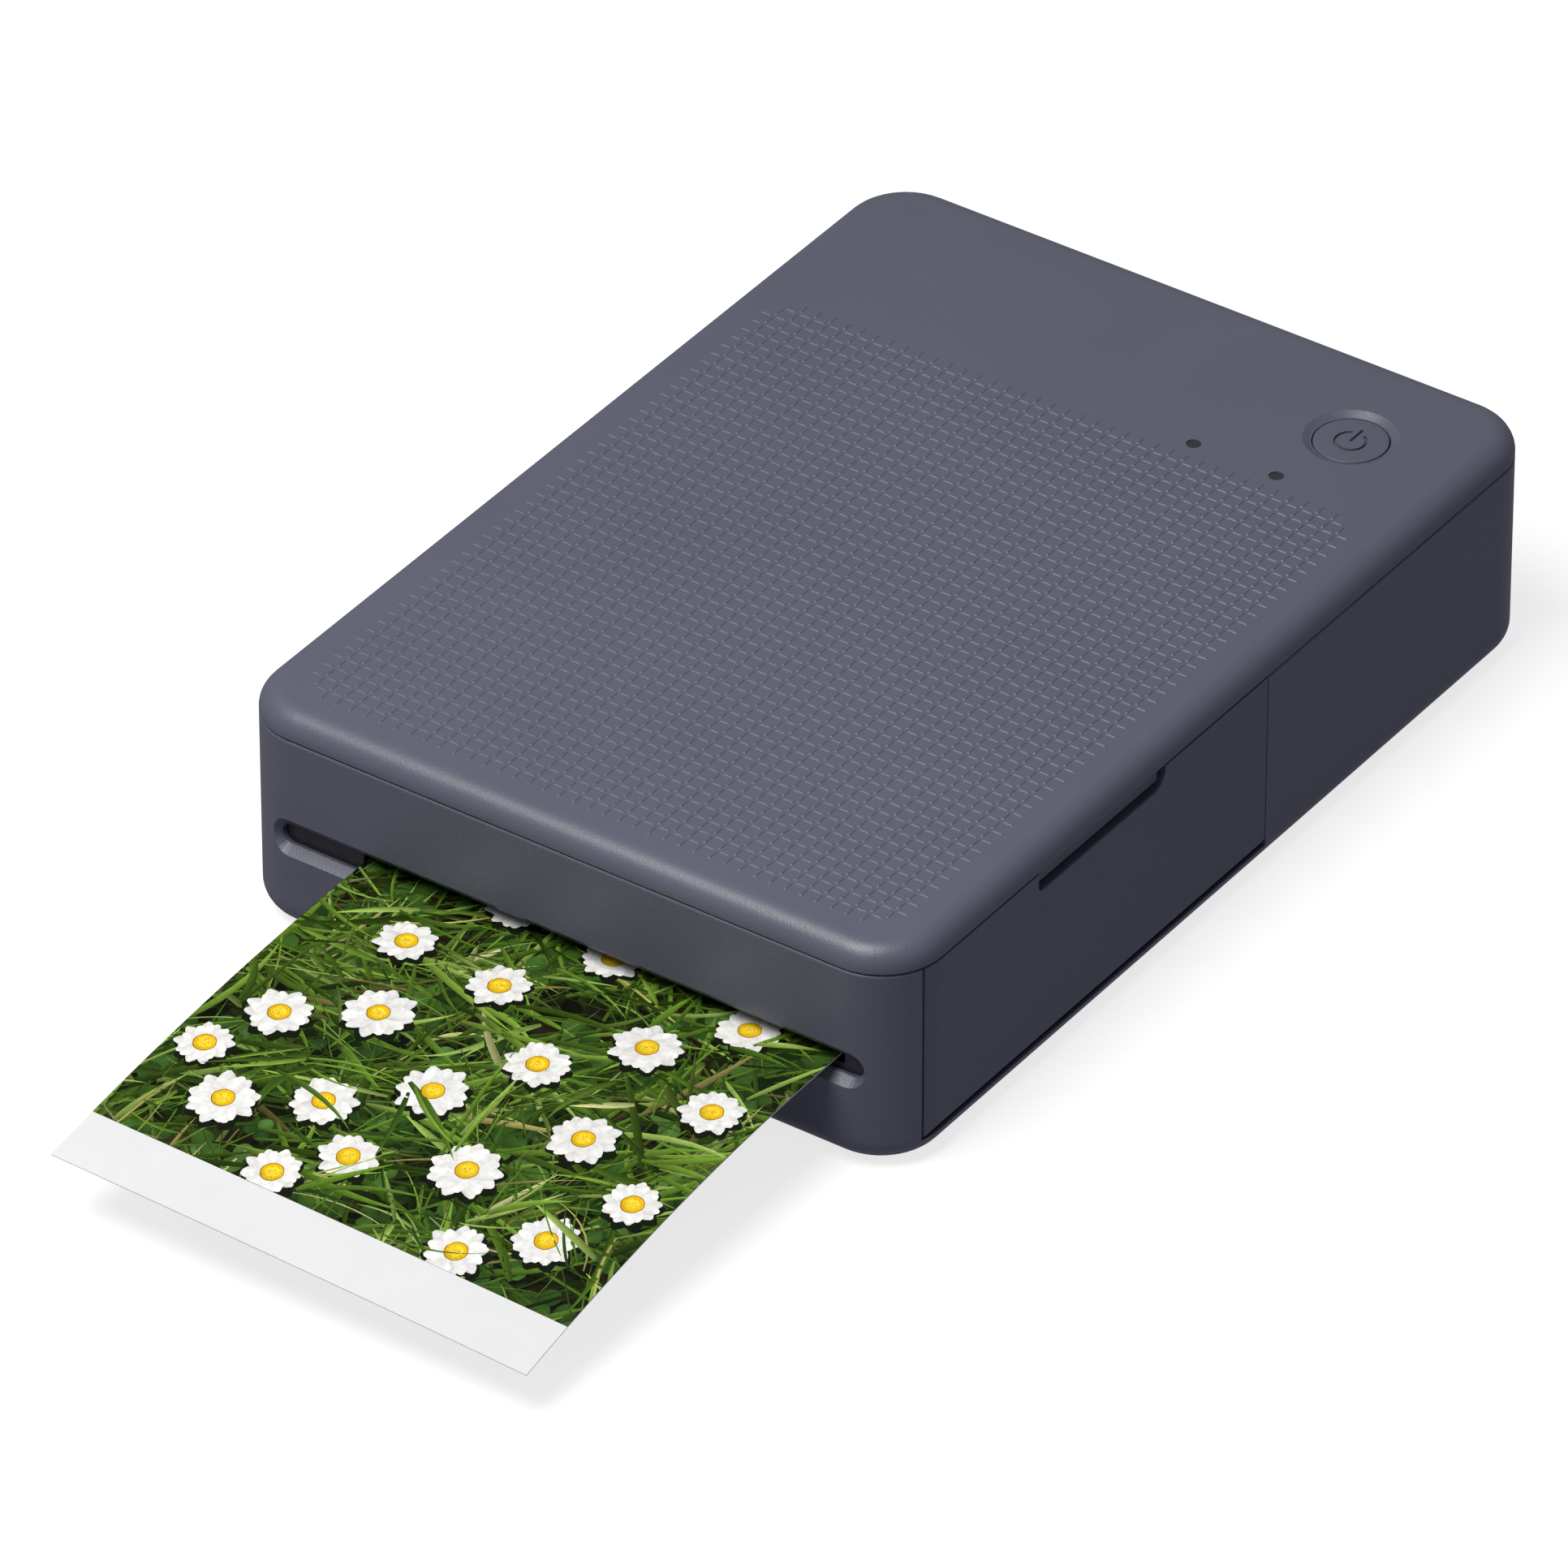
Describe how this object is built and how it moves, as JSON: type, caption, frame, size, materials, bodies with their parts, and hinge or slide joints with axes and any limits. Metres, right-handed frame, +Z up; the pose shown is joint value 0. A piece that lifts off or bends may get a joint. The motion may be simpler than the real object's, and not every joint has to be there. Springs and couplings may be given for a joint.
{
  "type": "compact photo printer",
  "caption": "Pocketable dye-transfer photo printer with a rear-hinged top cover, a side door over its ink cassette and a print leaving the front slot.",
  "frame": {"origin": "middle of the plan box of printer and print, on the surface that the feet stand on", "axes": "+Y towards the rear wall with the cover's hinge, -Y the way the print leaves, +X towards the ink door, +Z up"},
  "size_m": [0.1022, 0.21, 0.0334],
  "materials": {
    "case_abs": "fine moulded grain, slate grey ABS",
    "door_abs": "fine moulded grain, slate grey ABS",
    "button_abs": "satin moulded ABS",
    "inner_abs": "black moulded ABS",
    "cassette_plastic": "black moulded polystyrene",
    "sheet_steel": "zinc plated sheet",
    "black_steel": "blackened steel, satin",
    "bright_steel": "ground and plated",
    "acetal": "natural acetal",
    "black_acetal": "black acetal",
    "roller_rubber": "ground silicone rubber",
    "foot_rubber": "moulded rubber",
    "head_alloy": "extruded aluminium with a glazed ceramic strip",
    "ink_film": "dye coated film",
    "circuit_board": "green solder mask",
    "chip_black": "moulded epoxy",
    "battery_wrap": "aluminium cell case in blue shrink film",
    "paper_white": "coated card",
    "photo_paper": "glossy print with a white tear-off strip",
    "window_clear": "smoked light pipe",
    "lamp_white": "surface mounted lamp"
  },
  "bodies": {
    "base": {"bottom_case": "case_abs", "rubber_feet": "foot_rubber", "case_screws": "bright_steel", "mid_frame": "inner_abs", "left_plate": "black_steel", "right_plate": "black_steel", "plate_screws": "bright_steel", "roller_bushes": "black_acetal", "gear_studs": "bright_steel", "drive_motor": "sheet_steel", "feed_guide": "inner_abs", "exit_guide": "inner_abs", "head_rod": "bright_steel", "main_board": "circuit_board", "board_parts": "chip_black", "usb_socket": "sheet_steel", "antenna_board": "circuit_board", "battery_pack": "battery_wrap", "blank_sheets": "paper_white", "hinge_pins": "bright_steel"},
    "cover": {"top_cover": "case_abs", "cover_liner": "inner_abs", "liner_screws": "bright_steel", "control_board": "circuit_board", "power_switch": "bright_steel", "indicator_lamps": "lamp_white", "light_pipes": "window_clear", "press_rod": "bright_steel"},
    "power_button": {"power_button": "button_abs"},
    "press_arm": {"press_arm": "black_acetal"},
    "ink_door": {"ink_door": "door_abs"},
    "ink_cassette": {"cassette_shell": "cassette_plastic", "ink_ribbon": "ink_film"},
    "supply_spool": {"supply_core": "acetal", "supply_roll": "ink_film"},
    "takeup_spool": {"takeup_core": "acetal", "takeup_roll": "ink_film"},
    "takeup_hub": {"takeup_hub": "black_acetal"},
    "print_head": {"head_carrier": "sheet_steel", "thermal_head": "head_alloy"},
    "platen": {"platen_shaft": "bright_steel", "platen_rubber": "roller_rubber", "platen_gear": "black_acetal"},
    "motor_rotor": {"motor_pinion": "black_acetal"},
    "feed_idler": {"feed_idler": "acetal"},
    "pickup_idler": {"pickup_idler": "acetal"},
    "exit_idler": {"exit_idler": "black_acetal"},
    "exit_roller": {"exit_roller": "black_steel", "exit_gear": "black_acetal"},
    "pinch_roller": {"pinch_roller": "roller_rubber"},
    "pickup_roller": {"pickup_shaft": "bright_steel", "pickup_tyres": "roller_rubber", "pickup_gear": "acetal"},
    "photo_print": {"photo_print": "photo_paper"}
  },
  "joints": [
    {"name": "cover_hinge", "type": "hinge", "parent": "base", "child": "cover", "pos_m": [0, 0.10345, 0.0282], "axis": [-1, 0, 0], "range_deg": [0, 70]},
    {"name": "button_press", "type": "slide", "parent": "cover", "child": "power_button", "axis": [0, 0, -1], "range_m": [0, 0.00035], "stiffness_N_per_m": 600, "springref_m": -0.0002},
    {"name": "press_arm_hinge", "type": "hinge", "parent": "cover", "child": "press_arm", "pos_m": [0, 0.06615, 0.0265], "axis": [-1, 0, 0], "range_deg": [0, 8], "stiffness_Nm_per_rad": 0.08, "springref_deg": -8.59},
    {"name": "door_hinge", "type": "hinge", "parent": "base", "child": "ink_door", "pos_m": [0.0496, 0.00315, 0.005], "axis": [0, 1, 0], "range_deg": [0, 90]},
    {"name": "cassette_slide", "type": "slide", "parent": "base", "child": "ink_cassette", "axis": [1, 0, 0], "range_m": [0, 0.016]},
    {"name": "print_slide", "type": "slide", "parent": "base", "child": "photo_print", "axis": [0, -1, 0], "range_m": [0, 0.019]},
    {"name": "head_press", "type": "hinge", "parent": "base", "child": "print_head", "pos_m": [0, 0.00845, 0.0251], "axis": [1, 0, 0], "range_deg": [0, 2.5], "stiffness_Nm_per_rad": 0.5, "springref_deg": -3.44},
    {"name": "platen_spin", "type": "hinge", "parent": "base", "child": "platen", "pos_m": [0, -0.01185, 0.0083], "axis": [1, 0, 0], "continuous": true},
    {"name": "motor_spin", "type": "hinge", "parent": "base", "child": "motor_rotor", "pos_m": [0, 0.00415, 0.0075], "axis": [1, 0, 0], "continuous": true},
    {"name": "feed_idler_spin", "type": "hinge", "parent": "base", "child": "feed_idler", "pos_m": [0, -0.00272, 0.00981], "axis": [1, 0, 0], "continuous": true},
    {"name": "pickup_idler_spin", "type": "hinge", "parent": "base", "child": "pickup_idler", "pos_m": [0, 0.00991, 0.00993], "axis": [1, 0, 0], "continuous": true},
    {"name": "pickup_spin", "type": "hinge", "parent": "base", "child": "pickup_roller", "pos_m": [0, 0.01815, 0.0096], "axis": [1, 0, 0], "continuous": true},
    {"name": "exit_idler_spin", "type": "hinge", "parent": "base", "child": "exit_idler", "pos_m": [0, -0.02261, 0.0116], "axis": [1, 0, 0], "continuous": true},
    {"name": "exit_spin", "type": "hinge", "parent": "base", "child": "exit_roller", "pos_m": [0, -0.03285, 0.01125], "axis": [1, 0, 0], "continuous": true},
    {"name": "pinch_spin", "type": "hinge", "parent": "base", "child": "pinch_roller", "pos_m": [0, -0.03285, 0.01705], "axis": [1, 0, 0], "continuous": true},
    {"name": "hub_spin", "type": "hinge", "parent": "base", "child": "takeup_hub", "pos_m": [0, -0.02533, 0.0207], "axis": [1, 0, 0], "continuous": true},
    {"name": "takeup_spin", "type": "hinge", "parent": "ink_cassette", "child": "takeup_spool", "pos_m": [0, -0.02533, 0.0207], "axis": [1, 0, 0], "continuous": true},
    {"name": "supply_spin", "type": "hinge", "parent": "ink_cassette", "child": "supply_spool", "pos_m": [0, 0.00085, 0.0207], "axis": [1, 0, 0], "continuous": true}
  ],
  "couplings": [
    {"joint": "door_hinge", "follows": "cassette_slide", "rad_per_m": 98.17},
    {"joint": "motor_spin", "follows": "platen_spin", "ratio": 1.6667},
    {"joint": "feed_idler_spin", "follows": "platen_spin", "ratio": -1.1765},
    {"joint": "pickup_idler_spin", "follows": "platen_spin", "ratio": -1.5385},
    {"joint": "pickup_spin", "follows": "platen_spin", "ratio": 1},
    {"joint": "exit_idler_spin", "follows": "platen_spin", "ratio": -0.8},
    {"joint": "exit_spin", "follows": "platen_spin", "ratio": 1.25},
    {"joint": "pinch_spin", "follows": "platen_spin", "ratio": -1.6304},
    {"joint": "hub_spin", "follows": "platen_spin", "ratio": 1.5385},
    {"joint": "takeup_spin", "follows": "platen_spin", "ratio": 1.5385},
    {"joint": "supply_spin", "follows": "platen_spin", "ratio": -1.1834}
  ]
}
